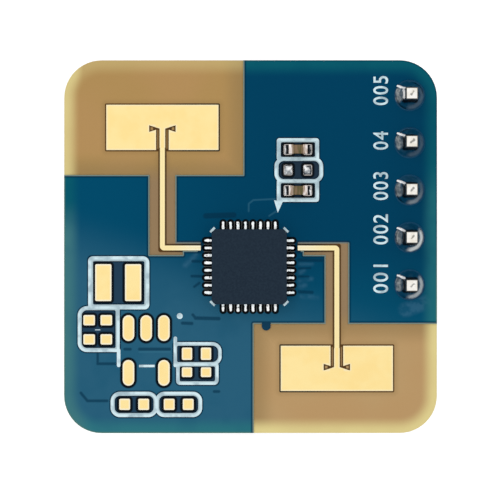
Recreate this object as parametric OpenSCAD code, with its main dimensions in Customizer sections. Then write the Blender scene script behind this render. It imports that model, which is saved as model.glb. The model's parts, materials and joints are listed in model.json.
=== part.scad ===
// Microwave radar sensor module: a small square circuit board with a transmit and a receive
// patch antenna, a radar chip between them, unfitted power parts and a five-pin header.
// Millimetres. The origin is the middle of the face that the header's housing rests on,
// +X runs to the nearest edge of the board, +Y along the pin row and +Z out of the antenna face.

/* [Board] */
// Side of the square board
board_size = 20; // [19.5:0.25:23]
// Thickness of the bare laminate
board_t = 1.2; // [0.8:0.1:1.6]
// Radius of the board's corners
corner_r = 2; // [1:0.25:2.5]
// Thickness of the copper on each face
copper_t = 0.035; // [0.03:0.005:0.07]
// Thickness of the solder mask over the copper
mask_t = 0.025; // [0.015:0.005:0.04]
// Thickness of the white print
print_t = 0.02; // [0.01:0.005:0.03]
// Bare strip from the board's edge to the ground copper
edge_gap = 0.5; // [0.3:0.05:0.7]
// Bare strip from a pad's edge to the mask
mask_gap = 0.06; // [0.03:0.01:0.07]
// Mask that laps past the ground copper along the antenna windows
mask_lap = 0.08; // [0.05:0.01:0.15]
// Gap from the ground copper to a pad
pour_gap = 0.2; // [0.15:0.01:0.3]
// Width of the lines of white print
print_line = 0.215; // [0.15:0.005:0.24]
// Radius of the corners of the pads and of their openings
pad_round = 0.08; // [0.02:0.01:0.08]

/* [Antennas] */
// Width of each patch, along X
patch_w = 6.02; // [5.6:0.02:6.4]
// Height of each patch, along Y
patch_h = 2.43; // [2.2:0.01:2.6]
// Width of the feed lines
feed_w = 0.3; // [0.24:0.01:0.34]
// Width of the slots beside a feed, inside the patch
slot_w = 0.19; // [0.14:0.01:0.24]
// How far the slots run into the patch
slot_l = 1.15; // [0.9:0.05:1.3]
// Length of the arrow-shaped end of a slot
arrow_l = 0.56; // [0.4:0.02:0.7]
// Height of the arrow-shaped end of a slot
arrow_h = 0.36; // [0.24:0.02:0.44]
// Middle of the transmit patch from the board's left edge
transmit_in_x = 5.27; // [5:0.01:5.5]
// Middle of the transmit patch from the board's top edge
transmit_in_y = 3.6; // [3.4:0.05:3.8]
// Middle of the receive patch from the board's right edge
receive_in_x = 5.37; // [5.2:0.01:5.6]
// Middle of the receive patch from the board's bottom edge
receive_in_y = 3.47; // [3.3:0.01:3.7]
// Bare laminate from the transmit patch to the mask beside it
transmit_side = 1.33; // [1:0.01:1.4]
// Bare laminate from the transmit patch to the mask below it
transmit_below = 1.34; // [1:0.01:1.5]
// Bare laminate from the receive patch to the mask beside it
receive_side = 1.45; // [1:0.05:1.5]
// Bare laminate from the receive patch to the mask above it
receive_above = 1.17; // [1:0.01:1.25]
// Width of the bare channel round the transmit feed
transmit_channel = 1.39; // [1.1:0.01:1.5]
// Width of the bare channel round the receive feed
receive_channel = 1.21; // [1:0.01:1.4]
// Width of both channels where they run in to the chip
chip_channel = 0.76; // [0.6:0.02:0.8]

/* [Radar chip] */
// Side of the square body
chip_size = 4; // [3.8:0.1:4.2]
// Height of the body
chip_h = 0.85; // [0.7:0.05:1]
// Radius of the corners of both chips' bodies
chip_round = 0.3; // [0.1:0.05:0.35]
// Spacing of the leads
chip_pitch = 0.4; // [0.36:0.01:0.41]
// Width of the leads and of their pads
chip_lead_w = 0.2; // [0.16:0.01:0.22]
// Length of the leads under the body
chip_lead_l = 0.4; // [0.3:0.02:0.44]
// Room from a body's corner to the middle of its first lead, on both chips
chip_corner = 0.58; // [0.5:0.01:0.59]
// Gap from the leads to the bare metal slug under the body
chip_slug_gap = 0.3; // [0.25:0.01:0.4]
// How far the board's pads reach out past the body
chip_toe = 0.45; // [0.35:0.05:0.55]
// Bare strip from the pads of a chip to the mask
chip_mask_gap = 0.04; // [0.02:0.01:0.05]
// Middle of the chip to the right of the board's middle
chip_x = -0.07; // [-0.2:0.01:0.2]
// Middle of the chip above the board's middle
chip_y = -1.07; // [-1.2:0.01:-0.9]
// Thickness of a metal lead frame
lead_t = 0.2; // [0.15:0.01:0.25]
// Height of the solder layer under a soldered part
solder_t = 0.05; // [0.03:0.01:0.07]

/* [Small chip parts] */
// Length of a capacitor or resistor
small_l = 1; // [0.9:0.05:1.1]
// Width of a capacitor or resistor
small_w = 0.5; // [0.4:0.05:0.55]
// Height of a capacitor
capacitor_h = 0.5; // [0.4:0.05:0.6]
// Height of a resistor
resistor_h = 0.35; // [0.3:0.05:0.45]
// Length of the metal end of a capacitor or resistor
small_band = 0.25; // [0.2:0.01:0.3]
// Thickness of that metal end
end_wall = 0.02; // [0.01:0.005:0.03]
// Length of the pad under each end
small_pad_l = 0.46; // [0.42:0.01:0.54]
// Width of the pad under each end
small_pad_w = 0.56; // [0.54:0.01:0.62]
// Spacing of the two pads of one part
small_pad_pitch = 1.05; // [1.02:0.01:1.15]
// Spacing of the three footprints above the chip
filter_pitch = 1.1; // [1.05:0.01:1.2]
// Middle of the three footprints to the right of the board's middle
filter_x = 2.54; // [2.3:0.01:2.8]
// Middle of the three footprints above the board's middle
filter_y = 4.11; // [4:0.01:4.4]

/* [Unfitted power parts] */
// Middle of the regulator's pads from the board's left edge
power_in_x = 4.4; // [4.3:0.05:4.6]
// Middle of the regulator's pads from the board's bottom edge
power_in_y = 4.43; // [4.4:0.01:4.6]
// Width of each oval pad
oval_w = 0.62; // [0.5:0.02:0.66]
// Height of each oval pad
oval_h = 1.38; // [1.2:0.02:1.4]
// Spacing of the oval pads in a row
oval_pitch = 0.95; // [0.9:0.01:0.98]
// Spacing of the two rows of oval pads
oval_rows = 2.4; // [2.2:0.05:2.5]
// Width of the two tall inductor pads
coil_pad_w = 0.87; // [0.8:0.01:0.95]
// Height of the two tall inductor pads
coil_pad_h = 1.98; // [1.8:0.02:2.1]
// Spacing of the two tall inductor pads
coil_pitch = 1.6; // [1.5:0.02:1.62]
// Side of the small square pads, which each group stretches a little
square_pad = 0.58; // [0.5:0.01:0.6]

/* [Header] */
// Spacing of the pins
pin_pitch = 2.54; // [2.5:0.02:2.56]
// Side of the square pins
pin_w = 0.64; // [0.5:0.02:0.66]
// Free length of a pin past the housing
pin_free = 6; // [4:0.5:8]
// Height of a pin's cut end above the antenna face
pin_tip = 1.55; // [1.2:0.05:2]
// Width and height of the plastic housing
housing_w = 2.54; // [2.2:0.02:2.6]
// Bevel on the housing's corners between the pins
housing_bevel = 0.35; // [0.2:0.05:0.5]
// Middle of the pin row from the board's right edge
header_in = 1.47; // [1.4:0.01:1.8]
// Top pin from the board's top edge
header_top = 1.89; // [1.8:0.01:2]
// Radius of the drilled hole for a pin
drill_r = 0.55; // [0.52:0.01:0.6]
// Thickness of the copper plating in a hole
plating_t = 0.025; // [0.02:0.005:0.03]
// Radius of the round pads at the pins
pin_pad_r = 0.78; // [0.7:0.01:0.85]
// Height of the solder cone on a pin
cone_h = 0.9; // [0.6:0.05:1.1]

/* [Parts on the back] */
// Side of the microcontroller's body
micro_size = 5; // [4.8:0.1:5.2]
// Height of the microcontroller's body
micro_h = 0.85; // [0.7:0.05:1]
// Spacing of the microcontroller's leads
micro_pitch = 0.5; // [0.48:0.01:0.54]
// Length of the crystal's housing
crystal_l = 3.2; // [3:0.1:3.4]
// Width of the crystal's housing
crystal_w = 2.5; // [2.3:0.1:2.7]
// Height of the crystal's ceramic base
crystal_base_h = 0.45; // [0.35:0.05:0.6]
// Height of the crystal's metal lid
crystal_lid_h = 0.25; // [0.15:0.05:0.35]
// Radius of the round test pads
test_pad_r = 0.5; // [0.4:0.05:0.6]
// Spacing of the round test pads
test_pitch = 1.6; // [1.4:0.05:1.8]
// Middle of the test pads from the board's top edge
test_in = 1.8; // [1.6:0.05:2]

/* [Hidden] */
$fn = 48;

// Levels: the housing rests at zero and carries the board on its top
half = board_size / 2;
skin = copper_t + mask_t;
back_z = housing_w + skin;
front_z = back_z + board_t;
pin_count = 5;
header_x = half - header_in;
header_up = half - header_top - (pin_count - 1) / 2 * pin_pitch;

// Colours
tan_laminate = [0.70, 0.56, 0.35];
blue_mask = [0.02, 0.29, 0.42];
gold_plate = [0.99, 0.89, 0.61];
bare_copper = [0.80, 0.50, 0.34];
white_print = [0.82, 0.88, 0.91];
bright_solder = [0.86, 0.87, 0.88];
dark_epoxy = [0.14, 0.18, 0.24];

// Places on the board, from its middle
transmit_at = [transmit_in_x - half, half - transmit_in_y];
receive_at = [half - receive_in_x, receive_in_y - half];
chip_at = [chip_x, chip_y];
chip_side_leads = lead_count(chip_size, chip_pitch);
chip_slug = chip_size - 2 * (chip_lead_l + chip_slug_gap);
filter_rows = [for (row = [1, 0, -1]) [filter_x, filter_y + row * filter_pitch]];

// Both feeds leave the chip at its second lead from the top
feed_y = chip_y + (chip_side_leads - 3) / 2 * chip_pitch;
chip_reach = chip_size / 2 + chip_toe;

// Openings in the mask for the antennas, as corner pairs
transmit_inner = [transmit_at[0] + patch_w / 2 + transmit_side,
    transmit_at[1] - patch_h / 2 - transmit_below];
receive_inner = [receive_at[0] - patch_w / 2 - receive_side,
    receive_at[1] + patch_h / 2 + receive_above];
step_past_feed = 0.4;
step_past_chip = 0.48;
stop_before_chip = 0.15;
transmit_step = transmit_at[0] + transmit_channel / 2 + step_past_feed;
receive_step = chip_x + chip_reach + step_past_chip;
channel_end = chip_reach + stop_before_chip;

// The tented via overlaps the corner of the receive window
via_at = receive_inner + [0.67, -0.11];
via_r = 0.18;
via_drill_r = 0.1;

// Unfitted parts, from the middle of the regulator's pads
power_at = [power_in_x - half, power_in_y - half];
coil_at = power_at + [-1.5, 3.64];
left_pair_at = power_at + [-2.6, 1.11];
right_pair_at = power_at + [2.7, -0.67];
resistor_at = power_at + [0.55, -2.89];
left_pair_pitch = [0.92, 1.03];
right_pair_pitch = [1.02, 0.99];
resistor_pitch = [1.02, 2.39];
left_pad = square_pad * [1, 1] + [0.04, -0.03];
right_pad = square_pad * [1, 1] + [-0.03, -0.06];
right_tall_h = square_pad + 0.08;
resistor_pad = square_pad * [1, 1] + [0, 0.02];

// White frames on the front: middle, width, height, line and the radius of each corner
filter_bar = filter_pitch / 2 + 0.044;
filter_top = filter_pitch + 0.5;
frame_past_pads = 0.38;
filter_frame_w = small_pad_pitch + small_pad_l + 2 * frame_past_pads;
outer_frame_h = filter_top - filter_bar + print_line;
outer_frame_up = (filter_top + filter_bar) / 2;
capsule_pitch = resistor_pitch[1];
capsule = [2.52, 1.36];
snug = 0.15;
wide = 0.5;
coil_frame = [0.81, 0.87];
thin_line = 0.19;
front_frames = [
    [[filter_x, filter_y + outer_frame_up], filter_frame_w, outer_frame_h, print_line,
        snug * [1, 1, 1, 1]],
    [[filter_x, filter_y - outer_frame_up], filter_frame_w, outer_frame_h, print_line,
        snug * [1, 1, 1, 1]],
    [[filter_x + 0.05, filter_y], filter_frame_w + 0.34, 2 * filter_bar + print_line, print_line,
        wide * [1, 1, 1, 1]],
    [coil_at + [0.03, -0.01], coil_pitch + coil_pad_w + coil_frame[0], coil_pad_h + coil_frame[1],
        0.26, [snug, 0.25, 0.35, 0.25]],
    [left_pair_at + [0.055, 0.04], 2.25, 2.46, print_line, [wide, snug, snug, wide]],
    [right_pair_at + [0.06, 0.49], 2.58, 1.262, thin_line, [snug, wide, wide, snug]],
    [right_pair_at + [0.048, -0.58], 2.275, 1.18, thin_line, [0.2, 0.25, snug, snug]],
    [resistor_at - [capsule_pitch / 2, 0], capsule[0], capsule[1], print_line,
        wide * [1, 1, 1, 1]],
    [resistor_at + [capsule_pitch / 2, 0], capsule[0], capsule[1], print_line,
        wide * [1, 1, 1, 1]]];

// Other white marks on the front, each from the middle of the parts that it belongs to
corner_mark = [0.34, 0.12];
corner_mark_out = -0.03;
triangle_mark = [[-1.28, -0.02], [-0.8, -0.08], [-1.08, -0.69]];
left_dash = [0.28, 0.06];
left_tail_at = [1.03, -2];
left_tail_l = 1;
right_tail_at = [-1.23, -0.22];
right_tail_l = 1.64;
dot_at = [1.8, 1.85];
dot_r = 0.16;
power_bar_at = [0.04, -0.83];
power_bar = [0.84, 0.13];

// Parts on the back, as they lie seen from the front
micro_at = [-4.5, -4.4];
micro_side_leads = lead_count(micro_size, micro_pitch);
micro_lead_w = 0.25;
micro_lead_l = 0.4;
micro_slug_gap = 0.45;
micro_slug = micro_size - 2 * (micro_lead_l + micro_slug_gap);
micro_toe = 0.4;
crystal_at = [1.6, -1.6];
crystal_pad = [1.2, 1];
crystal_pad_out = 0.15;
crystal_rim = 0.15;
frame_past_crystal = 0.5;
back_capacitors = [[-4.4, -8.4, 0], [-2.2, -8.4, 0], [-8.5, -5.2, 90], [-8.5, -3.2, 90],
    [-2.4, 1.4, 0], [0, 1.4, 0], [2.4, 1.4, 0]];
back_resistors = [[5, 3.4, 90], [5, 5.6, 90], [2.4, 3.6, 0], [2.4, 5.4, 0]];
test_count = 4;
test_x = 3.3;
coat_t = 0.02;

// Small thicknesses of the soldered parts and cuts on the pins
lift = copper_t + solder_t;
toe_t = 0.02;
pillow_h = 0.06;
pillow_slope = 0.12;
foot_rim = 0.02;
cone_neck = 0.62 * pin_w;
pin_taper = 0.12;
pin_cut = 0.05;
past = 1;

// Leads that fit on one side of a chip's body
function lead_count(size, pitch) = floor((size - 2 * chip_corner) / pitch) + 1;

// Outlines

module round_rect(w, h, r) {
    square([w, h - 2 * r], center = true);
    square([w - 2 * r, h], center = true);
    for (x = [-1, 1], y = [-1, 1])
        translate([x * (w / 2 - r), y * (h / 2 - r)]) circle(r);
}

module board_outline(inset = 0)
    round_rect(board_size - 2 * inset, board_size - 2 * inset, corner_r - inset);

module box_between(a, b) translate([min(a[0], b[0]), min(a[1], b[1])])
    square([abs(a[0] - b[0]), abs(a[1] - b[1])]);

// The two points of a cut corner, from its place and its two edge directions
function corner(p, back, on, cut) = [p + cut * back, p + cut * on];

// Corner points of a rectangle whose corners are cut, from the lower left anticlockwise
function cut_box(w, h, cuts) = concat(
    corner([-w, -h] / 2, [0, 1], [1, 0], cuts[0]), corner([w, -h] / 2, [-1, 0], [0, 1], cuts[1]),
    corner([w, h] / 2, [0, -1], [-1, 0], cuts[2]), corner([-w, h] / 2, [1, 0], [0, -1], cuts[3]));

// Rectangle with a radius of its own at each corner, in the same order
module soft_box(w, h, radii) {
    polygon(cut_box(w, h, radii));
    for (i = [0:3]) translate([(w / 2 - radii[i]) * (i == 0 || i == 3 ? -1 : 1),
        (h / 2 - radii[i]) * (i < 2 ? -1 : 1)]) circle(radii[i]);
}

module print_frame(at, w, h, line, radii) translate(at) difference() {
    soft_box(w, h, radii);
    soft_box(w - 2 * line, h - 2 * line, [for (r = radii) max(pad_round, r - line)]);
}

module oval(w, h) {
    square([w, h - w], center = true);
    for (y = [-1, 1]) translate([0, y * (h - w) / 2]) circle(w / 2);
}

// Lifts to the antenna face or hangs from the back, in places from the board's middle
module on_front(level = 0) translate([-header_x, -header_up, front_z + level]) children();
module on_back(level = 0) translate([-header_x, -header_up, back_z - level])
    mirror([0, 0, 1]) children();
module at_pin(i) translate([0, (pin_count + 1 - 2 * i) / 2 * pin_pitch, 0]) children();
module at_pins_on_board() for (i = [1:pin_count])
    translate([header_x, header_up, 0]) at_pin(i) children();

// Repeats a lead on all four sides, pointing outwards along +X from the body's edge
module on_four_sides(size, pitch, leads) for (side = [0:3], i = [1:leads])
    rotate(side * 90) translate([size / 2, (i - (leads + 1) / 2) * pitch, 0]) children();

// Pads, drawn larger by grow for the openings round them

module pad_2d(w, h, grow) round_rect(w + 2 * grow, h + 2 * grow, pad_round);

module lead_pad_2d(lead_w, lead_l, toe, grow = 0)
    translate([(toe - lead_l) / 2, 0]) pad_2d(toe + lead_l, lead_w, grow);

module chip_pads_2d(size, pitch, leads, lead_w, lead_l, toe, slug, grow) {
    on_four_sides(size, pitch, leads) lead_pad_2d(lead_w, lead_l, toe, grow);
    pad_2d(slug, slug, grow);
}

module radar_pads_2d(grow = 0) translate(chip_at)
    chip_pads_2d(chip_size, chip_pitch, chip_side_leads, chip_lead_w, chip_lead_l, chip_toe,
        chip_slug, grow);

module micro_pads_2d(grow = 0) translate(micro_at)
    chip_pads_2d(micro_size, micro_pitch, micro_side_leads, micro_lead_w, micro_lead_l,
        micro_toe, micro_slug, grow);

module small_pads_2d(grow = 0) for (x = [-1, 1])
    translate([x * small_pad_pitch / 2, 0]) pad_2d(small_pad_l, small_pad_w, grow);

module filter_pads_2d(grow = 0) for (at = filter_rows) translate(at) small_pads_2d(grow);

module coil_pads_2d(grow = 0) for (x = [-1, 1])
    translate(coil_at + [x * coil_pitch / 2, 0]) pad_2d(coil_pad_w, coil_pad_h, grow);

module left_pads_2d(grow = 0) for (x = [-1, 1], y = [-1, 1])
    translate(left_pair_at + [x * left_pair_pitch[0], y * left_pair_pitch[1]] / 2)
        pad_2d(left_pad[0], left_pad[1], grow);

module right_pads_2d(grow = 0) for (x = [-1, 1], y = [-1, 1])
    translate(right_pair_at + [x * right_pair_pitch[0], y * right_pair_pitch[1]] / 2)
        pad_2d(right_pad[0], y > 0 ? right_tall_h : right_pad[1], grow);

module resistor_pads_2d(grow = 0) for (x = [-1, 1], pair = [-1, 1])
    translate(resistor_at + [x * resistor_pitch[0] + pair * resistor_pitch[1], 0] / 2)
        pad_2d(resistor_pad[0], resistor_pad[1], grow);

module regulator_pads_2d(grow = 0) for (x = [-1, 0, 1], y = [-1, 1])
    if (x != 0 || y > 0)
        translate(power_at + [x * oval_pitch, y * oval_rows / 2])
            oval(oval_w + 2 * grow, oval_h + 2 * grow);

module pin_pads_2d(grow = 0) at_pins_on_board() circle(pin_pad_r + grow);

module front_pads_2d(grow, chip_grow) {
    radar_pads_2d(chip_grow);
    filter_pads_2d(grow);
    coil_pads_2d(grow);
    left_pads_2d(grow);
    right_pads_2d(grow);
    resistor_pads_2d(grow);
    regulator_pads_2d(grow);
    pin_pads_2d(grow);
}

module crystal_pads_2d(grow = 0) for (x = [-1, 1], y = [-1, 1])
    translate(crystal_at + [x * (crystal_l - crystal_pad[0]), y * (crystal_w - crystal_pad[1])] / 2
        + [x, y] * crystal_pad_out) pad_2d(crystal_pad[0], crystal_pad[1], grow);

module at_back_parts(places) for (p = places) translate([p[0], p[1], 0]) rotate(p[2]) children();

module back_part_pads_2d(grow = 0)
    at_back_parts(concat(back_capacitors, back_resistors)) small_pads_2d(grow);

module test_pads_2d(grow = 0) for (i = [1:test_count])
    translate([test_x + (i - (test_count + 1) / 2) * test_pitch, half - test_in])
        circle(test_pad_r + grow);

module back_pads_2d(grow, chip_grow) {
    micro_pads_2d(chip_grow);
    crystal_pads_2d(grow);
    back_part_pads_2d(grow);
    test_pads_2d(grow);
    pin_pads_2d(grow);
}

// The patch and its feed, drawn with the patch's middle at zero and the feed leaving downwards
module patch_2d() {
    difference() {
        square([patch_w, patch_h], center = true);
        for (side = [-1, 1]) scale([side, 1]) translate([feed_w / 2, -patch_h / 2]) {
            translate([0, -past]) square([slot_w, slot_l + past]);
            polygon([[0, slot_l], [arrow_l, slot_l - arrow_h / 2],
                [arrow_l, slot_l + arrow_h / 2]]);
        }
    }
}

// A feed runs straight from the patch, rounds its outer corner and meets a pad of the chip
module feed_2d(patch_at, side) {
    bend = side * feed_w / 2;
    run_y = feed_y + (patch_at[1] > feed_y ? 1 : -1) * feed_w / 2;
    edge = patch_at[1] + (patch_at[1] > feed_y ? -1 : 1) * patch_h / 2;
    box_between([patch_at[0] - bend, run_y], [patch_at[0] + bend, edge]);
    difference() {
        box_between([patch_at[0] + bend, feed_y - feed_w / 2],
            [chip_x - side * (chip_reach - pad_round), feed_y + feed_w / 2]);
        radar_pads_2d();
    }
    intersection() {
        translate([patch_at[0] + bend, run_y]) circle(feed_w);
        box_between([patch_at[0] - bend, feed_y - feed_w / 2],
            [patch_at[0] + bend, feed_y + feed_w / 2]);
    }
}

// Bare windows in the mask, drawn larger by grow for the ground copper's edge
module transmit_window_2d(grow = 0) {
    left = transmit_at[0] - transmit_channel / 2 - grow;
    right = transmit_at[0] + transmit_channel / 2 + grow;
    low = feed_y - chip_channel / 2 - grow;
    high = feed_y + chip_channel / 2 + grow;
    box_between([-half - past, half + past], transmit_inner + [grow, -grow]);
    box_between([left, low], [right, transmit_inner[1]]);
    box_between([left, low], [transmit_step + grow, high]);
    box_between([left, feed_y - feed_w / 2 - grow], [chip_x - channel_end + grow, high]);
}

module receive_window_2d(grow = 0) {
    left = receive_at[0] - receive_channel / 2 - grow;
    right = receive_at[0] + receive_channel / 2 + grow;
    low = feed_y - chip_channel / 2 - grow;
    high = feed_y + chip_channel / 2 + grow;
    box_between([half + past, -half - past], receive_inner + [-grow, grow]);
    box_between([left, high], [right, receive_inner[1]]);
    box_between([receive_step - grow, low], [right, high]);
    box_between([chip_x + channel_end - grow, feed_y - feed_w / 2 - grow], [right, high]);
}

// The board and its layers

module board_laminate() color(tan_laminate) translate([0, 0, -board_t]) on_front()
    linear_extrude(board_t) difference() {
        board_outline();
        at_pins_on_board() circle(drill_r);
        translate(via_at) circle(via_drill_r);
    }

module front_pour_2d() difference() {
    board_outline(edge_gap);
    transmit_window_2d(mask_lap);
    receive_window_2d(mask_lap);
    front_pads_2d(pour_gap, pour_gap);
    for (f = front_frames) translate(f[0])
        soft_box(f[1] - f[3] / 2, f[2] - f[3] / 2, [for (r = f[4]) max(pad_round, r - f[3] / 4)]);
}

module back_plane_2d() difference() {
    board_outline(edge_gap);
    back_pads_2d(pour_gap, pour_gap);
    translate(via_at) circle(via_r);
}

module front_ground_pour() color(bare_copper) on_front() linear_extrude(copper_t) front_pour_2d();
module back_ground_plane() color(bare_copper) on_back() linear_extrude(copper_t) back_plane_2d();

module front_solder_mask() color(blue_mask) difference() {
    on_front() linear_extrude(skin) {
        difference() {
            board_outline();
            transmit_window_2d();
            receive_window_2d();
            front_pads_2d(mask_gap, chip_mask_gap);
        }
        translate(via_at) circle(via_r + mask_gap);
    }
    front_ground_pour();
    tented_via();
    transmit_antenna();
    receive_antenna();
}

module back_solder_mask() color(blue_mask) difference() {
    on_back() linear_extrude(skin) difference() {
        board_outline();
        back_pads_2d(mask_gap, chip_mask_gap);
    }
    back_ground_plane();
    tented_via();
}

module antenna(patch_at, side) color(gold_plate) on_front() linear_extrude(copper_t) {
    translate(patch_at) rotate(patch_at[1] > feed_y ? 0 : 180) patch_2d();
    feed_2d(patch_at, side);
}

module transmit_antenna() antenna(transmit_at, 1);
module receive_antenna() antenna(receive_at, -1);

// Copper that lines a hole from face to face, with a ring round it on both faces
module lined_hole(bore_r, hole_r, ring_r) on_front(-board_t) rotate_extrude()
    polygon([[bore_r, -copper_t], [ring_r, -copper_t], [ring_r, 0], [hole_r, 0],
        [hole_r, board_t], [ring_r, board_t], [ring_r, board_t + copper_t],
        [bore_r, board_t + copper_t]]);

module plated_holes() color(gold_plate) at_pins_on_board()
    lined_hole(drill_r - plating_t, drill_r, pin_pad_r);

module tented_via() color(bare_copper) translate(via_at) lined_hole(0, via_drill_r, via_r);

// White print

module corner_marks(at, size) for (x = [-1, 1], y = [-1, 1])
    translate(at + [x, y] * (size / 2 + corner_mark_out)) rotate(-45 * x * y)
        square(corner_mark, center = true);

module print_stroke(length) translate([thin_line, length] / 2) oval(thin_line, length);

module front_print_2d() {
    for (f = front_frames) print_frame(f[0], f[1], f[2], f[3], f[4]);
    corner_marks(chip_at, chip_size);
    translate([filter_x, filter_y - filter_top]) polygon(triangle_mark);
    translate(left_pair_at) square(left_dash, center = true);
    translate(left_pair_at + left_tail_at) print_stroke(left_tail_l);
    translate(right_pair_at + right_tail_at) print_stroke(right_tail_l);
    translate(power_at + dot_at) circle(dot_r);
    translate(power_at + power_bar_at) square(power_bar, center = true);
}

module front_silkscreen() color(white_print) on_front(skin) linear_extrude(print_t)
    front_print_2d();

module back_silkscreen() color(white_print) on_back(skin) linear_extrude(print_t) {
    corner_marks(micro_at, micro_size);
    at_back_parts(concat(back_capacitors, back_resistors))
        print_frame([0, 0], filter_frame_w, small_pad_w + 2 * frame_past_pads, print_line,
            snug * [1, 1, 1, 1]);
    print_frame(crystal_at, crystal_l + 2 * frame_past_crystal, crystal_w + 2 * frame_past_crystal,
        print_line, snug * [1, 1, 1, 1]);
}

// Bare gold pads

module front_pad() color(gold_plate) on_front() linear_extrude(copper_t) children();
module back_pad() color(gold_plate) on_back() linear_extrude(copper_t) children();

module inductor_pads() front_pad() coil_pads_2d();
module left_capacitor_pads() front_pad() left_pads_2d();
module regulator_pads() front_pad() regulator_pads_2d();
module right_capacitor_pads() front_pad() right_pads_2d();
module resistor_pads() front_pad() resistor_pads_2d();
module filter_pads() front_pad() filter_pads_2d();
module radar_chip_pads() front_pad() radar_pads_2d();
module microcontroller_pads() back_pad() micro_pads_2d();
module crystal_pads() back_pad() crystal_pads_2d();
module back_part_pads() back_pad() back_part_pads_2d();
module test_pads() back_pad() test_pads_2d();

// A pillow of solder left on each spare pad, its edges sloping to the pad all round
module pillow_side(w, depth) rotate([90, 0, 0]) linear_extrude(depth, center = true)
    polygon([[-w / 2, 0], [w / 2, 0], [w / 2 - pillow_slope, pillow_h],
        [pillow_slope - w / 2, pillow_h]]);

module spare_pad_solder() color(bright_solder) on_front(copper_t) translate(filter_rows[1])
    for (x = [-1, 1]) translate([x * small_pad_pitch / 2, 0, 0]) intersection() {
        pillow_side(small_pad_l, small_pad_w);
        rotate(90) pillow_side(small_pad_w, small_pad_l);
    }

// Soldered parts, standing on the pads

// Side view of a solder joint: a thin layer under the part and a hollow slope up its face
function joint_profile(inner, face, outer, side_h) = [[inner, 0], [outer, 0], [outer, toe_t],
    [face + (outer - face) * 0.35, side_h * 0.35], [face, side_h], [face, solder_t],
    [inner, solder_t]];

module joint(inner, face, outer, side_h, w) rotate([90, 0, 0])
    linear_extrude(w, center = true) polygon(joint_profile(inner, face, outer, side_h));

module chip_leads(size, pitch, leads, lead_w, lead_l, slug) {
    on_four_sides(size, pitch, leads)
        translate([-lead_l, -lead_w / 2, 0]) cube([lead_l, lead_w, lead_t]);
    translate([-slug / 2, -slug / 2, 0]) cube([slug, slug, lead_t]);
}

module chip_joints(size, pitch, leads, lead_w, lead_l, toe, slug) {
    on_four_sides(size, pitch, leads) intersection() {
        joint(-lead_l, 0, toe, solder_t + lead_t * 0.8, lead_w);
        linear_extrude(solder_t + lead_t) lead_pad_2d(lead_w, lead_l, toe);
    }
    linear_extrude(solder_t) square(slug, center = true);
}

module chip_body(size, h) linear_extrude(h) round_rect(size, size, chip_round);

module radar_chip_leadframe() color(bright_solder) on_front(lift) translate(chip_at)
    chip_leads(chip_size, chip_pitch, chip_side_leads, chip_lead_w, chip_lead_l, chip_slug);

module radar_chip_solder() color(bright_solder) on_front(copper_t) translate(chip_at)
    chip_joints(chip_size, chip_pitch, chip_side_leads, chip_lead_w, chip_lead_l, chip_toe,
        chip_slug);

module radar_chip_body() color(dark_epoxy) difference() {
    on_front(lift) translate(chip_at) chip_body(chip_size, chip_h);
    radar_chip_leadframe();
}

module microcontroller_leadframe() color(bright_solder) on_back(lift) translate(micro_at)
    chip_leads(micro_size, micro_pitch, micro_side_leads, micro_lead_w, micro_lead_l, micro_slug);

module microcontroller_solder() color(bright_solder) on_back(copper_t) translate(micro_at)
    chip_joints(micro_size, micro_pitch, micro_side_leads, micro_lead_w, micro_lead_l, micro_toe,
        micro_slug);

module microcontroller_body() color(dark_epoxy) difference() {
    on_back(lift) translate(micro_at) chip_body(micro_size, micro_h);
    microcontroller_leadframe();
}

// A capacitor or resistor: a ceramic block whose ends are wrapped in metal
module small_block(h) translate([end_wall - small_l / 2, end_wall - small_w / 2, end_wall])
    cube([small_l, small_w, h] - 2 * end_wall * [1, 1, 1]);

module small_ends(h) for (x = [-1, 1]) difference() {
    translate([x * (small_l - small_band) / 2, 0, h / 2])
        cube([small_band, small_w, h], center = true);
    small_block(h);
}

module small_joints(h) for (x = [-1, 1]) scale([x, 1, 1])
    joint((small_pad_pitch - small_pad_l) / 2, small_l / 2,
        (small_pad_pitch + small_pad_l) / 2 - foot_rim, solder_t + h * 0.6, small_w);

module upper_capacitor_body() color([0.51, 0.44, 0.29]) on_front(lift) translate(filter_rows[0])
    small_block(capacitor_h);
module lower_capacitor_body() color([0.51, 0.40, 0.30]) on_front(lift) translate(filter_rows[2])
    small_block(capacitor_h);
module upper_capacitor_ends() color(bright_solder) on_front(lift) translate(filter_rows[0])
    small_ends(capacitor_h);
module lower_capacitor_ends() color(bright_solder) on_front(lift) translate(filter_rows[2])
    small_ends(capacitor_h);
module filter_solder() color(bright_solder) on_front(copper_t) for (row = [0, 2])
    translate(filter_rows[row]) small_joints(capacitor_h);

module back_capacitor_bodies() color([0.51, 0.42, 0.30]) on_back(lift)
    at_back_parts(back_capacitors) small_block(capacitor_h);
module back_capacitor_ends() color(bright_solder) on_back(lift)
    at_back_parts(back_capacitors) small_ends(capacitor_h);
module back_resistor_bodies() color([0.92, 0.92, 0.90]) on_back(lift)
    at_back_parts(back_resistors) small_block(resistor_h);
module back_resistor_ends() color(bright_solder) on_back(lift)
    at_back_parts(back_resistors) small_ends(resistor_h);
module back_resistor_coats() color([0.07, 0.07, 0.08]) on_back(lift + resistor_h - end_wall)
    at_back_parts(back_resistors) linear_extrude(coat_t + end_wall)
        square([small_l - 2 * small_band, small_w - 2 * end_wall], center = true);
module back_part_solder() color(bright_solder) on_back(copper_t) {
    at_back_parts(back_capacitors) small_joints(capacitor_h);
    at_back_parts(back_resistors) small_joints(resistor_h);
}

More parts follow.
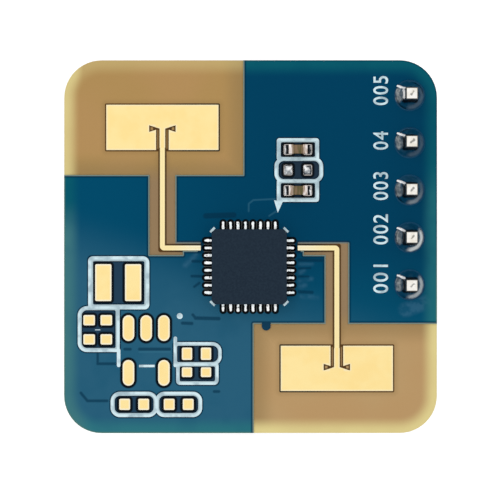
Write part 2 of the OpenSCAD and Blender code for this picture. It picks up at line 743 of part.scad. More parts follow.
module crystal_base() color([0.30, 0.27, 0.24]) on_back(lift) translate(crystal_at)
    linear_extrude(crystal_base_h) square([crystal_l, crystal_w], center = true);
module crystal_lid() color([0.80, 0.80, 0.78]) on_back(lift + crystal_base_h)
    translate(crystal_at) linear_extrude(crystal_lid_h)
        square([crystal_l, crystal_w] - 2 * crystal_rim * [1, 1], center = true);
module crystal_solder() color(bright_solder) on_back(copper_t) linear_extrude(solder_t)
    crystal_pads_2d(-0.05);

// The header

module header_housing() color([0.06, 0.06, 0.07]) linear_extrude(housing_w) difference() {
    union() {
        for (i = [1:pin_count]) at_pin(i)
            polygon(cut_box(housing_w, pin_pitch, housing_bevel * [1, 1, 1, 1]));
        square([housing_w - 2 * housing_bevel, pin_count * pin_pitch], center = true);
    }
    for (i = [1:pin_count]) at_pin(i) square(pin_w, center = true);
}

// Side view of a pin, whose ends are both tapered
module pin_side_2d() {
    low = -pin_free;
    top = front_z + pin_tip;
    side = pin_w / 2;
    polygon([[-side, low + 3 * pin_taper], [pin_taper - side, low], [side - pin_taper, low],
        [side, low + 3 * pin_taper], [side, top - pin_cut], [side - pin_cut, top],
        [pin_cut - side, top], [-side, top - pin_cut]]);
}

module header_pin(i) color([0.86, 0.80, 0.62]) at_pin(i) intersection() {
    rotate([90, 0, 0]) linear_extrude(pin_w, center = true) pin_side_2d();
    rotate([90, 0, 90]) linear_extrude(pin_w, center = true) pin_side_2d();
}

// Solder fills the plated hole and climbs the pin in a hollow cone
module solder_joint(i) color(bright_solder) at_pin(i) difference() {
    foot = pin_pad_r - foot_rim;
    barrel_r = drill_r - plating_t;
    barrel_h = board_t + 2 * copper_t;
    hollow_r = (pow(foot - cone_neck, 2) + pow(cone_h, 2)) / 2 / (foot - cone_neck);
    translate([0, 0, back_z - copper_t]) rotate_extrude() difference() {
        polygon([[0, 0], [barrel_r, 0], [barrel_r, barrel_h], [foot, barrel_h],
            [foot, barrel_h + cone_h], [0, barrel_h + cone_h]]);
        translate([cone_neck + hollow_r, barrel_h + cone_h]) circle(hollow_r);
    }
    cube([pin_w, pin_w, 4 * (front_z + pin_tip)], center = true);
}

board_laminate();
front_ground_pour();
back_ground_plane();
front_solder_mask();
back_solder_mask();
front_silkscreen();
back_silkscreen();
transmit_antenna();
receive_antenna();
plated_holes();
tented_via();
inductor_pads();
left_capacitor_pads();
regulator_pads();
right_capacitor_pads();
resistor_pads();
filter_pads();
spare_pad_solder();
radar_chip_pads();
radar_chip_solder();
radar_chip_leadframe();
radar_chip_body();
upper_capacitor_body();
upper_capacitor_ends();
lower_capacitor_body();
lower_capacitor_ends();
filter_solder();
header_housing();
header_pin(1);  // header_pin_1
header_pin(2);  // header_pin_2
header_pin(3);  // header_pin_3
header_pin(4);  // header_pin_4
header_pin(5);  // header_pin_5
solder_joint(1);  // solder_joint_1
solder_joint(2);  // solder_joint_2
solder_joint(3);  // solder_joint_3
solder_joint(4);  // solder_joint_4
solder_joint(5);  // solder_joint_5
microcontroller_pads();
microcontroller_solder();
microcontroller_leadframe();
microcontroller_body();
crystal_pads();
crystal_solder();
crystal_base();
crystal_lid();
back_part_pads();
back_part_solder();
back_capacitor_bodies();
back_capacitor_ends();
back_resistor_bodies();
back_resistor_coats();
back_resistor_ends();
test_pads();
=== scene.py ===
# Finish, light and camera for a small radar sensor board with two patch antennas.
# Metres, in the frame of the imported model; patterns are drawn in millimetres from the board's middle.
import json
import math
import bmesh
import bpy
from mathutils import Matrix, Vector


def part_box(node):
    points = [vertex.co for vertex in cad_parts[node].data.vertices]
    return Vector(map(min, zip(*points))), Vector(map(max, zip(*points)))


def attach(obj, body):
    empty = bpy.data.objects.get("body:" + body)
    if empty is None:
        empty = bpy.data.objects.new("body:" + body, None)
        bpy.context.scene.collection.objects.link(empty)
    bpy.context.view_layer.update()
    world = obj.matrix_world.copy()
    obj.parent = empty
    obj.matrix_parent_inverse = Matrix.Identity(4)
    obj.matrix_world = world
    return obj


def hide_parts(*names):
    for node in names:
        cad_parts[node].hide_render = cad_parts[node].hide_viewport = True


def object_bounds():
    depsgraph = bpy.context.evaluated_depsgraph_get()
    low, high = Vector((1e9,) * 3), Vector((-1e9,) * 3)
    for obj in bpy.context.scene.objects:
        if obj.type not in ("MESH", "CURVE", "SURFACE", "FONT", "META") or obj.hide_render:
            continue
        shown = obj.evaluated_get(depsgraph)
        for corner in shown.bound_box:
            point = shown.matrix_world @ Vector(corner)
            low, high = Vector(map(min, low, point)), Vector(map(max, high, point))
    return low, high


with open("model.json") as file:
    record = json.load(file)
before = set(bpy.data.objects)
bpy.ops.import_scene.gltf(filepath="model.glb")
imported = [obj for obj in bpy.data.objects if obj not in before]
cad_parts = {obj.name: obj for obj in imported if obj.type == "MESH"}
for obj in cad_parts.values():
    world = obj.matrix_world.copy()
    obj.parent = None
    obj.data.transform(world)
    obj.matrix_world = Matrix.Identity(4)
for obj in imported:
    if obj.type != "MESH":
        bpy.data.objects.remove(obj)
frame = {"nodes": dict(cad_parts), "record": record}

MM = 0.001
X, Y, Z = (1, 0, 0), (0, 1, 0), (0, 0, 1)
cad_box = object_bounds()
board_low, board_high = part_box("board_laminate")
board_middle = (board_low + board_high) / 2
board_side = (board_high.x - board_low.x) / MM
corner_radius = 2.0
front_z = board_high.z
copper_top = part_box("transmit_antenna")[1].z
mask_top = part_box("front_solder_mask")[1].z
land_top = (copper_top - board_middle.z) / MM
print_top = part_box("front_silkscreen")[1].z
chip_middle = ((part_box("radar_chip_body")[0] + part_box("radar_chip_body")[1]) / 2 - board_middle) / MM
chip_half = (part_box("radar_chip_body")[1].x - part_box("radar_chip_body")[0].x) / 2 / MM

# Measures of the lacquer and the print, in millimetres
lead_pitch, lead_w, last_lead = 0.4, 0.2, 1.4
land_in, land_out = 0.05, 0.45
feed_y = chip_middle.y + 2.5 * lead_pitch
feed_w = 0.30
transmit_window = (-0.39, 3.845)
receive_window = (0.17, -4.145)
transmit_channel = (-5.425, -4.035)
receive_channel = (4.025, 5.235)
chip_channel = 0.76
arm_up = 0.24
capacitor_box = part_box("upper_capacitor_body")
capacitor_x = ((capacitor_box[0].x + capacitor_box[1].x) / 2 - board_middle.x) / MM
via_middle = ((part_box("tented_via")[0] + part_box("tented_via")[1]) / 2 - board_middle) / MM
via_cover = 0.24

# White frames on the antenna face: middle, width, height, line, radius of the left and right
# corners, and shift of the mirrored copy
frames = [(2.54, 4.11, 2.27, 1.22, 0.215, (0.15, 0.15), (0, 1.097)),
          (2.59, 4.11, 2.61, 1.40, 0.215, (0.5, 0.5), (0, 0)),
          (-7.07, -1.94, 3.28, 2.85, 0.26, (0.2, 0.3), (0, 0)),
          (-8.145, -4.42, 2.25, 2.46, 0.215, (0.5, 0.15), (0, 0)),
          (-2.84, -5.75, 2.58, 1.262, 0.19, (0.15, 0.5), (0, 0)),
          (-2.852, -6.82, 2.275, 1.18, 0.19, (0.2, 0.2), (0, 0)),
          (-5.05, -8.46, 2.52, 1.36, 0.215, (0.5, 0.5), (1.195, 0))]

# Plain numbers beside the pins, read upwards: text, middle from the board's middle, length
pin_numbers = [("005", 8.37, 1.56), ("04", 5.69, 0.98), ("003", 3.25, 1.5), ("002", 0.93, 1.62),
               ("001", -1.73, 1.53)]
number_x = 6.98
number_cap = 0.80

# Copper tracks that show faintly through the lacquer: both ends and half the width
tracks = [((-8.2, -6.28), (-7.15, -6.28), 0.05), ((-8.2, -6.28), (-8.2, -5.75), 0.04),
          ((-6.75, -5.5), (-6.45, -5.5), 0.05), ((-5.95, -5.5), (-4.35, -5.5), 0.06),
          ((-8.75, -8.27), (-7.7, -8.27), 0.05), ((-9.1, -7.85), (-8.75, -8.27), 0.05),
          ((-2.95, -3.83), (-1.7, -3.86), 0.07), ((-3.1, -3.65), (-2.95, -3.83), 0.05),
          ((-3.65, -4.1), (-3.15, -4.12), 0.06), ((-3.15, -1.58), (-2.6, -1.59), 0.05),
          ((-3.1, -0.78), (-2.6, -0.79), 0.05), ((-3.02, -2.15), (-2.75, -1.95), 0.04),
          ((-1.95, -7.77), (-1.7, -7.77), 0.05), ((-2.4, 1.65), (-0.9, 1.7), 0.12),
          ((2.6, -0.71), (3.8, -0.73), 0.07), ((2.6, -1.17), (3.2, -1.15), 0.03),
          ((2.6, -1.6), (3.1, -1.6), 0.03), ((2.6, -2.42), (3.3, -2.45), 0.06)]
glints = [((-0.1, 1.9), (-0.1, 2.3), 0.03), ((-0.1, 2.3), (0.15, 2.5), 0.03),
          ((0.15, 2.5), (1.35, 2.56), 0.03), ((-5.95, -5.64), (-4.35, -5.64), 0.04),
          ((1.45, 1.95), (1.0, 1.65), 0.03)]

# Paler clouds in the lacquer: both ends and half the width
hazes = [((2.65, -0.94), (3.3, -0.92), 0.0), ((2.65, -1.4), (2.85, -1.28), 0.02),
         ((2.65, -1.85), (3.25, -1.72), 0.03), ((2.65, -2.15), (2.9, -2.05), 0.04),
         ((2.75, -2.65), (3.6, -2.72), 0.03), ((8.3, -3.4), (9.4, -3.0), 0.3),
         ((-2.9, -0.4), (-3.5, -1.0), 0.05)]


def srgb(red, green, blue):
    """A colour as a picture gives it, 0 to 255, made linear."""
    parts = [c / 255 for c in (red, green, blue)]
    return (*[c / 12.92 if c <= 0.04045 else ((c + 0.055) / 1.055) ** 2.4 for c in parts], 1.0)


# Shader helpers

def put(tree, kind, inputs=(), out=0, **settings):
    """Adds a shader node, sets its options and fills its inputs, by place or by name."""
    node = tree.nodes.new("ShaderNode" + kind)
    for key, value in settings.items():
        setattr(node, key, value)
    pairs = inputs.items() if isinstance(inputs, dict) else enumerate(inputs)
    for key, value in pairs:
        if isinstance(value, bpy.types.NodeSocket):
            tree.links.new(value, node.inputs[key])
        elif value is not None:
            node.inputs[key].default_value = value
    return node.outputs[out]


def calc(tree, operation, *values):
    return put(tree, "Math", values, operation=operation)


def vector(tree, operation, *values, out=0):
    return put(tree, "VectorMath", values, operation=operation, out=out)


def coordinate(tree, point, axis):
    """One coordinate of a point."""
    return vector(tree, "DOT_PRODUCT", point, axis, out=1)


def ramp(tree, value, start, end, low=0.0, high=1.0):
    """Goes smoothly from low at start to high at end."""
    return put(tree, "MapRange", (value, start, end, low, high), interpolation_type="SMOOTHSTEP")


def tint(tree, amount, under, over, mode="MIX"):
    return put(tree, "Mix", {0: amount, 6: under, 7: over}, out=2, data_type="RGBA", blend_type=mode)


def tint_value(tree, amount, under, over):
    return put(tree, "Mix", {0: amount, 2: under, 3: over}, data_type="FLOAT")


def noise(tree, point, scale, detail=2.0, roughness=0.5, out="Fac"):
    values = {"Vector": point, "Scale": scale, "Detail": detail, "Roughness": roughness}
    return put(tree, "TexNoise", values, out=out)


def board_point(tree):
    """Object coordinates in millimetres from the middle of the board."""
    moved = vector(tree, "SUBTRACT", put(tree, "TexCoord", out="Object"), board_middle)
    return put(tree, "VectorMath", {0: moved, "Scale": 1 / MM}, operation="SCALE")


def new_group(name, inputs, outputs):
    """An empty node group; gives the group, its inputs by name and a dict to fill the outputs."""
    group = bpy.data.node_groups.new(name, "ShaderNodeTree")
    for label, kind in inputs.items():
        group.interface.new_socket(label, in_out="INPUT", socket_type="NodeSocket" + kind)
    for label in outputs:
        group.interface.new_socket(label, in_out="OUTPUT", socket_type="NodeSocketFloat")
    return group, group.nodes.new("NodeGroupInput").outputs


def close_group(group, **results):
    sink = group.nodes.new("NodeGroupOutput")
    for label, value in results.items():
        group.links.new(value, sink.inputs[label])
    return group


def use(tree, group, out=0, **inputs):
    return put(tree, "Group", {k: v for k, v in inputs.items()}, out=out, node_tree=group)


def make_box_distance():
    """Distance to a rectangle with round corners and its mirror copies at plus and minus Shift."""
    group, given = new_group("Box distance", {"Point": "Vector", "Middle": "Vector", "Shift": "Vector",
                                              "Half": "Vector", "Round": "Float"}, ["Distance"])
    flat = vector(group, "MULTIPLY", given["Point"], (1, 1, 0))
    folded = vector(group, "ABSOLUTE", vector(group, "SUBTRACT", flat, given["Middle"]))
    away = vector(group, "ABSOLUTE", vector(group, "SUBTRACT", folded, given["Shift"]))
    rounding = put(group, "CombineXYZ", (given["Round"], given["Round"], 0.0))
    core = vector(group, "SUBTRACT", given["Half"], rounding)
    past = vector(group, "SUBTRACT", away, core)
    outside = vector(group, "LENGTH", vector(group, "MAXIMUM", past, (0, 0, 0)), out=1)
    deepest = calc(group, "MAXIMUM", coordinate(group, past, X), coordinate(group, past, Y))
    inside = calc(group, "MINIMUM", deepest, 0.0)
    total = calc(group, "SUBTRACT", calc(group, "ADD", outside, inside), given["Round"])
    return close_group(group, Distance=total)


def make_segment_distance():
    """Distance to a straight stretch between two points."""
    group, given = new_group("Segment distance", {"Point": "Vector", "Start": "Vector", "Way": "Vector"},
                             ["Distance"])
    flat = vector(group, "MULTIPLY", given["Point"], (1, 1, 0))
    reach = vector(group, "SUBTRACT", flat, given["Start"])
    length = coordinate(group, given["Way"], given["Way"])
    share = calc(group, "DIVIDE", coordinate(group, reach, given["Way"]), length)
    share = calc(group, "MINIMUM", calc(group, "MAXIMUM", share, 0.0), 1.0)
    nearest = put(group, "VectorMath", {0: given["Way"], "Scale": share}, operation="SCALE")
    return close_group(group, Distance=vector(group, "DISTANCE", reach, nearest, out=1))


box_distance = make_box_distance()
segment_distance = make_segment_distance()


def to_box(tree, point, x, y, half_w, half_h, rounding=0.0, shift=(0, 0)):
    return use(tree, box_distance, Point=point, Middle=(x, y, 0), Shift=(*shift, 0),
               Half=(half_w, half_h, 0), Round=rounding)


def to_segment(tree, point, start, end, half_w):
    way = (end[0] - start[0], end[1] - start[1], 0)
    far = use(tree, segment_distance, Point=point, Start=(*start, 0), Way=way)
    return calc(tree, "SUBTRACT", far, half_w)


def least(tree, distances):
    nearest = distances[0]
    for other in distances[1:]:
        nearest = calc(tree, "MINIMUM", nearest, other)
    return nearest


# Shapes read from the frame

def islands(node):
    """Middle x and y and half width and height, in board millimetres, of each solid of a node."""
    shape = bmesh.new()
    shape.from_mesh(frame["nodes"][node].data)
    bmesh.ops.remove_doubles(shape, verts=shape.verts, dist=1e-7)
    left, found = set(shape.verts), []
    for start in list(shape.verts):
        if start not in left:
            continue
        left.discard(start)
        queue, group = [start], []
        while queue:
            spot = queue.pop()
            group.append((spot.co - board_middle) / MM)
            for edge in spot.link_edges:
                other = edge.other_vert(spot)
                if other in left:
                    left.discard(other)
                    queue.append(other)
        xs, ys = [p.x for p in group], [p.y for p in group]
        found.append(((max(xs) + min(xs)) / 2, (max(ys) + min(ys)) / 2,
                      (max(xs) - min(xs)) / 2, (max(ys) - min(ys)) / 2))
    shape.free()
    return sorted(found)


def mirrored_pads(node):
    """A node's pads as (middle, half size, shift) of as few mirrored sets as they make."""
    pads = [tuple(round(value, 3) for value in pad) for pad in islands(node)]
    low_x, high_x = min(p[0] for p in pads), max(p[0] for p in pads)
    low_y, high_y = min(p[1] for p in pads), max(p[1] for p in pads)
    middle_x, middle_y = (low_x + high_x) / 2, (low_y + high_y) / 2
    sets = {}
    for x, y, half_w, half_h in pads:
        key = (round(abs(x - middle_x), 2), round(abs(y - middle_y), 2), half_w, half_h)
        sets.setdefault(key, []).append((x, y))
    found = []
    for (out_x, out_y, half_w, half_h), places in sets.items():
        if len(places) == (2 if out_x else 1) * (2 if out_y else 1):
            found.append(((middle_x, middle_y), (half_w, half_h), (out_x, out_y)))
        else:
            for y in sorted({place[1] for place in places}):
                found.append(((middle_x, y), (half_w, half_h), (out_x, 0)))
    return found


SQUARE_PADS = ["inductor_pads", "left_capacitor_pads", "right_capacitor_pads", "resistor_pads", "filter_pads"]
square_pads = [pads for node in SQUARE_PADS for pads in mirrored_pads(node)]
round_pads = mirrored_pads("regulator_pads")
pins = islands("plated_holes")
pin_x = pins[0][0]
pin_low_y = min(pin[1] for pin in pins)
pin_pitch = (max(pin[1] for pin in pins) - pin_low_y) / (len(pins) - 1)
antennas = {"transmit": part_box("transmit_antenna"), "receive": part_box("receive_antenna")}


def point_group(name, outputs=("Distance",)):
    group, given = new_group(name, {"Point": "Vector"}, outputs)
    return group, given["Point"]


def make_front_pads():
    """Distance to the nearest bare pad of the antenna face, apart from the chip's."""
    group, point = point_group("Front pads")
    found = [to_box(group, point, *at, *half, 0.08, shift) for at, half, shift in square_pads]
    found += [to_box(group, point, *at, *half, half[0], shift) for at, half, shift in round_pads]
    return close_group(group, Distance=least(group, found))


def make_chip_pads():
    """Distance to the radar chip's round-ended pads, and to the rows in which they stand."""
    group, point = point_group("Chip pads", ["Distance", "Row"])
    away = vector(group, "ABSOLUTE", vector(group, "SUBTRACT", point, chip_middle))
    out = calc(group, "MAXIMUM", coordinate(group, away, X), coordinate(group, away, Y))
    side = calc(group, "MINIMUM", coordinate(group, away, X), coordinate(group, away, Y))
    folded = calc(group, "SUBTRACT", calc(group, "MODULO", side, lead_pitch), lead_pitch / 2)
    across = calc(group, "MAXIMUM", calc(group, "ABSOLUTE", folded), calc(group, "SUBTRACT", side, last_lead))
    middle, reach = chip_half + (land_out - land_in) / 2, (land_out + land_in) / 2
    land = to_box(group, put(group, "CombineXYZ", (out, across, 0.0)), middle, 0.0, reach,
                  lead_w / 2, lead_w / 2)
    row = to_box(group, put(group, "CombineXYZ", (out, side, 0.0)), middle, 0.0, reach, last_lead)
    return close_group(group, Distance=land, Row=row)


def make_antenna_copper():
    """Distance to the copper of both antennas, with the slots cut out."""
    group, point = point_group("Antenna copper", ["Distance", "Feed"])
    patch_w, patch_h, slot_w, slot_l, arrow_l, arrow_h = 6.02, 2.43, 0.19, 1.15, 0.56, 0.36
    found, feeds = [], []
    for name, side in (("transmit", -1), ("receive", 1)):
        low, high = [(corner - board_middle) / MM for corner in antennas[name]]
        x = low.x + patch_w / 2 if side < 0 else high.x - patch_w / 2
        y = high.y - patch_h / 2 if side < 0 else low.y + patch_h / 2
        patch = to_box(group, point, x, y, patch_w / 2, patch_h / 2)
        foot = y + side * patch_h / 2
        cuts = []
        for way in (-1, 1):
            slot_x = x + way * (feed_w + slot_w) / 2
            cuts.append(to_box(group, point, slot_x, foot - side * slot_l / 2, slot_w / 2, slot_l / 2))
            tip = foot - side * slot_l
            cuts.append(to_box(group, point, x + way * (feed_w / 2 + arrow_l * 0.75), tip,
                               arrow_l / 4, arrow_h * 0.4))
        opened = calc(group, "MAXIMUM", patch, calc(group, "MULTIPLY", least(group, cuts), -1.0))
        down = to_box(group, point, x, (foot + feed_y) / 2, feed_w / 2, abs(foot - feed_y) / 2 + 0.12)
        chip_end = chip_middle.x + side * (chip_half + 0.45)
        across = to_box(group, point, (x + chip_end) / 2, feed_y, abs(x - chip_end) / 2 + 0.12, feed_w / 2)
        found.append(opened)
        feeds += [down, across]
    feed = least(group, feeds)
    return close_group(group, Distance=calc(group, "MINIMUM", least(group, found), feed), Feed=feed)


def make_windows():
    """Distance to the bare windows of the lacquer, below zero inside them."""
    group, point = point_group("Windows")
    far = board_side / 2 + 2

    def between(x0, y0, x1, y1):
        return to_box(group, point, (x0 + x1) / 2, (y0 + y1) / 2, abs(x1 - x0) / 2, abs(y1 - y0) / 2)
    top = feed_y + arm_up
    low = feed_y - chip_channel / 2
    step = feed_y - feed_w / 2
    left, right = transmit_channel, receive_channel
    shapes = [between(-far, far, *transmit_window), between(left[0], low, left[1], transmit_window[1] + 1),
              between(left[0], low, left[1] + 0.4, top), between(left[0], step, -2.67, top),
              between(far, -far, *receive_window), between(right[0], top, right[1], receive_window[1] - 1),
              between(2.86, low, right[1], top), between(2.53, step, right[1], top)]
    return close_group(group, Distance=least(group, shapes))


def make_print_frames():
    """Distance to the white frames' lines, and how far a point lies inside a frame."""
    group, point = point_group("Print frames", ["Line", "Inside"])
    across = coordinate(group, point, X)
    lines, insides = [], []
    for x, y, w, h, line, (left, right), shift in frames:
        rounding = left - line / 2
        if left != right:
            on_right = calc(group, "GREATER_THAN", across, x)
            rounding = calc(group, "MULTIPLY_ADD", on_right, right - left, max(left - line / 2, 0.05))
        middle_line = to_box(group, point, x, y, (w - line) / 2, (h - line) / 2, rounding, shift)
        lines.append(calc(group, "SUBTRACT", calc(group, "ABSOLUTE", middle_line), line / 2))
        insides.append(middle_line)
    return close_group(group, Line=least(group, lines), Inside=least(group, insides))


def make_board_edge():
    """How far a point lies in from the board's outline."""
    group, point = point_group("Board edge")
    out = to_box(group, point, 0, 0, board_side / 2, board_side / 2, corner_radius)
    return close_group(group, Distance=calc(group, "MULTIPLY", out, -1.0))


def make_track_lines(name, lines):
    group, point = point_group(name)
    return close_group(group, Distance=least(group, [to_segment(group, point, *line) for line in lines]))


front_pads = make_front_pads()
chip_pads = make_chip_pads()
antenna_copper = make_antenna_copper()
windows = make_windows()
print_frames = make_print_frames()
board_edge = make_board_edge()
front_tracks = make_track_lines("Front tracks", tracks)
front_glints = make_track_lines("Front glints", glints)
haze_patches = make_track_lines("Haze patches", hazes)
joint_painted_light = None


# Materials

def finish_shader(name, base, roughness, metallic=0.0, bump=None, bump_depth=0.0, **plain):
    """A Principled shader whose base, roughness and bump may be links; the rest is set on its sockets."""
    material = bpy.data.materials.new(name)
    material.use_nodes = True
    tree = material.node_tree
    shader = tree.nodes["Principled BSDF"]
    point = board_point(tree)
    values = {"Base Color": base, "Roughness": roughness, "Metallic": metallic, **plain}
    for label, value in values.items():
        if callable(value):
            tree.links.new(value(tree, point), shader.inputs[label])
        else:
            shader.inputs[label].default_value = value
    if bump:
        normal = put(tree, "Bump", {"Strength": 1.0, "Distance": bump_depth * MM,
                                    "Height": bump(tree, point)})
        tree.links.new(normal, shader.inputs["Normal"])
    return material


def grain_roughness(middle, spread, scale):
    """A roughness that wanders round its middle."""
    return lambda tree, point: ramp(tree, noise(tree, point, scale), 0.3, 0.7,
                                    middle - spread, middle + spread)


def grain(scale, detail=3.0):
    return lambda tree, point: noise(tree, point, scale, detail)


def laminate_base(tree, point):
    """Tan glass laminate: greyer by the lacquer, with a painted yellow glow of light through the board's edge,
    and painted shade against the gold.
    """
    x = coordinate(tree, point, X)
    y = coordinate(tree, point, Y)
    across = calc(tree, "SUBTRACT", x, y)
    base = tint(tree, ramp(tree, across, -7.0, 8.0), srgb(181, 144, 86), srgb(192, 158, 109))
    cloud = noise(tree, point, 0.28, 1.0)
    base = tint(tree, ramp(tree, cloud, 0.4, 0.7, 0.0, 0.4), base, srgb(190, 147, 96))
    window = calc(tree, "MULTIPLY", use(tree, windows, Point=point), -1.0)
    base = tint(tree, ramp(tree, window, 1.3, 0.1, 0.0, 0.6), base, srgb(150, 123, 78))
    # Painted light: a yellow glow where light shines through the laminate at the board's edge, strongest at the
    # bottom and left.
    edge = use(tree, board_edge, Point=point)
    patchy = ramp(tree, noise(tree, point, 0.35, 2.0), 0.3, 0.75, 0.85, 1.0)
    lower = calc(tree, "MAXIMUM", ramp(tree, y, 9.5, -4.0, 0.35, 1.0), ramp(tree, x, -8.6, -9.5, 0.0, 0.9))
    glow = calc(tree, "MULTIPLY", calc(tree, "MULTIPLY", ramp(tree, edge, 0.9, 0.1), patchy), lower)
    base = tint(tree, glow, base, srgb(232, 216, 148))
    # Painted shade: the laminate darkens towards the gold.
    gold = use(tree, antenna_copper, Point=point)
    base = tint(tree, ramp(tree, gold, 0.4, 0.05, 0.0, 0.3), base, srgb(140, 112, 66))
    channel = calc(tree, "MULTIPLY", ramp(tree, gold.node.outputs["Feed"], 0.9, 0.6, 0.0, 0.5),
                   ramp(tree, calc(tree, "ABSOLUTE", y), 4.5, 3.3))
    base = tint(tree, channel, base, srgb(140, 118, 98))
    # Painted shadow: a dark line along the copper's edge, browner away from the chip.
    from_chip = calc(tree, "ABSOLUTE", calc(tree, "SUBTRACT", x, chip_middle.x))
    outline = tint(tree, ramp(tree, from_chip, 4.6, 3.2), srgb(84, 54, 12), srgb(16, 12, 8))
    base = tint(tree, ramp(tree, gold, 0.1, 0.05, 0.0, 1.0), base, outline)
    on_top = ramp(tree, coordinate(tree, point, Z), 0.5, 0.59)
    # Painted highlight: a pale line where the lacquer's edge meets the laminate.
    painted_rim_highlight = calc(tree, "MULTIPLY", ramp(tree, window, 0.01, -0.01), on_top)
    base = tint(tree, painted_rim_highlight, base, srgb(118, 128, 124))
    base = tint(tree, calc(tree, "MULTIPLY", ramp(tree, window, -0.05, -0.08), on_top), base, srgb(4, 56, 84))
    # Painted shade in the bare gaps round the pads and the chip's pads.
    base = tint(tree, ramp(tree, use(tree, front_pads, Point=point), 0.3, 0.1), base, srgb(8, 14, 20))
    base = tint(tree, chip_lands(tree, point)[0], base, srgb(1, 4, 9))
    # The bare ring round each header pin takes the lacquer's blue, made paler as painted light against the
    # shade it lies in.
    pin_far = vector(tree, "LENGTH", pin_place(tree, point), out=1)
    return tint(tree, ramp(tree, pin_far, 1.3, 1.1), base, srgb(12, 80, 118))


def chip_lands(tree, point):
    """Nearness to the chip's pads: the shade round each, and the dull webs between them."""
    far = use(tree, chip_pads, Point=point)
    web = calc(tree, "MULTIPLY", ramp(tree, far.node.outputs["Row"], 0.0, -0.06), ramp(tree, far, 0.08, 0.1))
    return ramp(tree, far, 0.12, 0.07), web


def lacquer_base(tree, point):
    """Blue lacquer, hazier at the lower left and teal at the board's edge, partly where no copper lies under it
    and partly a painted glow of light; with painted shade round pads, print and windows and painted highlights
    along the windows.
    """
    x = coordinate(tree, point, X)
    y = coordinate(tree, point, Y)
    base = tint(tree, ramp(tree, x, 2.0, -9.0), srgb(0, 66, 98), srgb(0, 77, 110))
    base = tint(tree, ramp(tree, y, 1.0, -4.0, 0.0, 0.8), base, srgb(4, 82, 113))
    cloud = noise(tree, point, 0.55, 2.0)
    low = calc(tree, "SUBTRACT", calc(tree, "MULTIPLY", x, -0.32), y)
    haze = calc(tree, "MULTIPLY", ramp(tree, low, 0.6, 5.0), ramp(tree, cloud, 0.3, 0.52, 0.8, 1.0))
    base = tint(tree, haze, base, srgb(42, 98, 126))
    patch = use(tree, haze_patches, Point=point)
    misty = calc(tree, "MULTIPLY", ramp(tree, patch, 0.2, -0.1, 0.0, 0.6),
                 ramp(tree, noise(tree, point, 2.4, 2.0), 0.35, 0.6, 0.25, 1.0))
    base = tint(tree, misty, base, srgb(56, 108, 138))
    # Teal at the board's edge: partly lacquer with no copper under it, partly a painted glow of light through
    # the edge, brighter towards the bottom.
    edge = use(tree, board_edge, Point=point)
    lit = ramp(tree, calc(tree, "MULTIPLY_ADD", x, -0.1, y), 3.6, 1.3)
    low_rim = tint(tree, ramp(tree, x, -9.0, 9.0), srgb(48, 120, 132), srgb(34, 110, 122))
    low_rim = tint(tree, ramp(tree, x, -8.4, -9.4), low_rim, srgb(64, 122, 130))
    rim = tint(tree, lit, srgb(9, 93, 110), low_rim)
    glow = calc(tree, "MULTIPLY", ramp(tree, edge, 0.95, 0.15), ramp(tree, cloud, 0.25, 0.55, 0.75, 1.0))
    base = tint(tree, glow, base, rim)
    # Painted light and shade on the board's edge line: pale green at the lower left, dark blue at the upper
    # right.
    edge_line = tint(tree, ramp(tree, calc(tree, "ADD", y, x), 6.0, 12.0), srgb(84, 124, 96), srgb(4, 44, 62))
    base = tint(tree, ramp(tree, edge, 0.12, 0.0, 0.0, 0.6), base, edge_line)
    line = use(tree, print_frames, out="Line", Point=point)
    inside = line.node.outputs["Inside"]
    framed = tint(tree, ramp(tree, x, -0.5, 0.5), srgb(36, 60, 82), srgb(38, 52, 66))
    base = tint(tree, ramp(tree, inside, 0.0, -0.15, 0.0, 0.9), base, framed)
    track = use(tree, front_tracks, Point=point)
    base = tint(tree, ramp(tree, track, 0.07, -0.02, 0.0, 0.7), base, srgb(4, 50, 76))
    glint = use(tree, front_glints, Point=point)
    base = tint(tree, ramp(tree, glint, 0.05, -0.02, 0.0, 0.35), base, srgb(60, 120, 145))
    # Painted shade: a dark halo round the white frames.
    base = tint(tree, ramp(tree, line, 0.1, 0.03, 0.0, 0.85), base, srgb(6, 34, 54))
    # Dark ring round each pad: partly lacquer over the copper-free clearance, partly painted shade.
    lands = use(tree, front_pads, Point=point)
    base = tint(tree, ramp(tree, lands, 0.18, 0.1), base, srgb(8, 16, 24))
    # Painted shade: the lacquer darkens next to the windows.
    window = use(tree, windows, Point=point)
    base = tint(tree, ramp(tree, window, 0.2, 0.09, 0.0, 0.8), base, srgb(0, 46, 70))
    bridge = to_box(tree, point, chip_middle.x, feed_y, chip_half + 0.72, 0.5)
    via = to_box(tree, point, via_middle.x, via_middle.y, via_cover, via_cover, via_cover)
    base = tint(tree, ramp(tree, via, 0.03, -0.06), base, srgb(20, 62, 88))
    # Painted shade: near black where the windows open beside the chip.
    base = tint(tree, ramp(tree, calc(tree, "MAXIMUM", bridge, window), 0.05, 0.0), base, srgb(6, 12, 20))
    # Painted highlight: a pale line along the lacquer's edge at the windows.
    open_rim = ramp(tree, calc(tree, "MINIMUM", bridge, via), 0.03, 0.06)
    rim_line = calc(tree, "MULTIPLY", ramp(tree, window, 0.075, 0.045), open_rim)
    base = tint(tree, rim_line, base, srgb(122, 142, 136))
    shade, web = chip_lands(tree, point)
    base = tint(tree, shade, base, srgb(1, 4, 9))
    return tint(tree, web, base, srgb(112, 108, 98))


def back_lacquer_base(tree, point):
    edge = use(tree, board_edge, Point=point)
    cloud = noise(tree, point, 0.4, 2.0)
    base = tint(tree, ramp(tree, cloud, 0.35, 0.65), srgb(2, 66, 98), srgb(10, 78, 110))
    # Paler teal at the board's edge: partly lacquer with no copper under it, partly a painted glow of light
    # through the edge.
    return tint(tree, ramp(tree, edge, 0.7, 0.3), base, srgb(10, 100, 118))


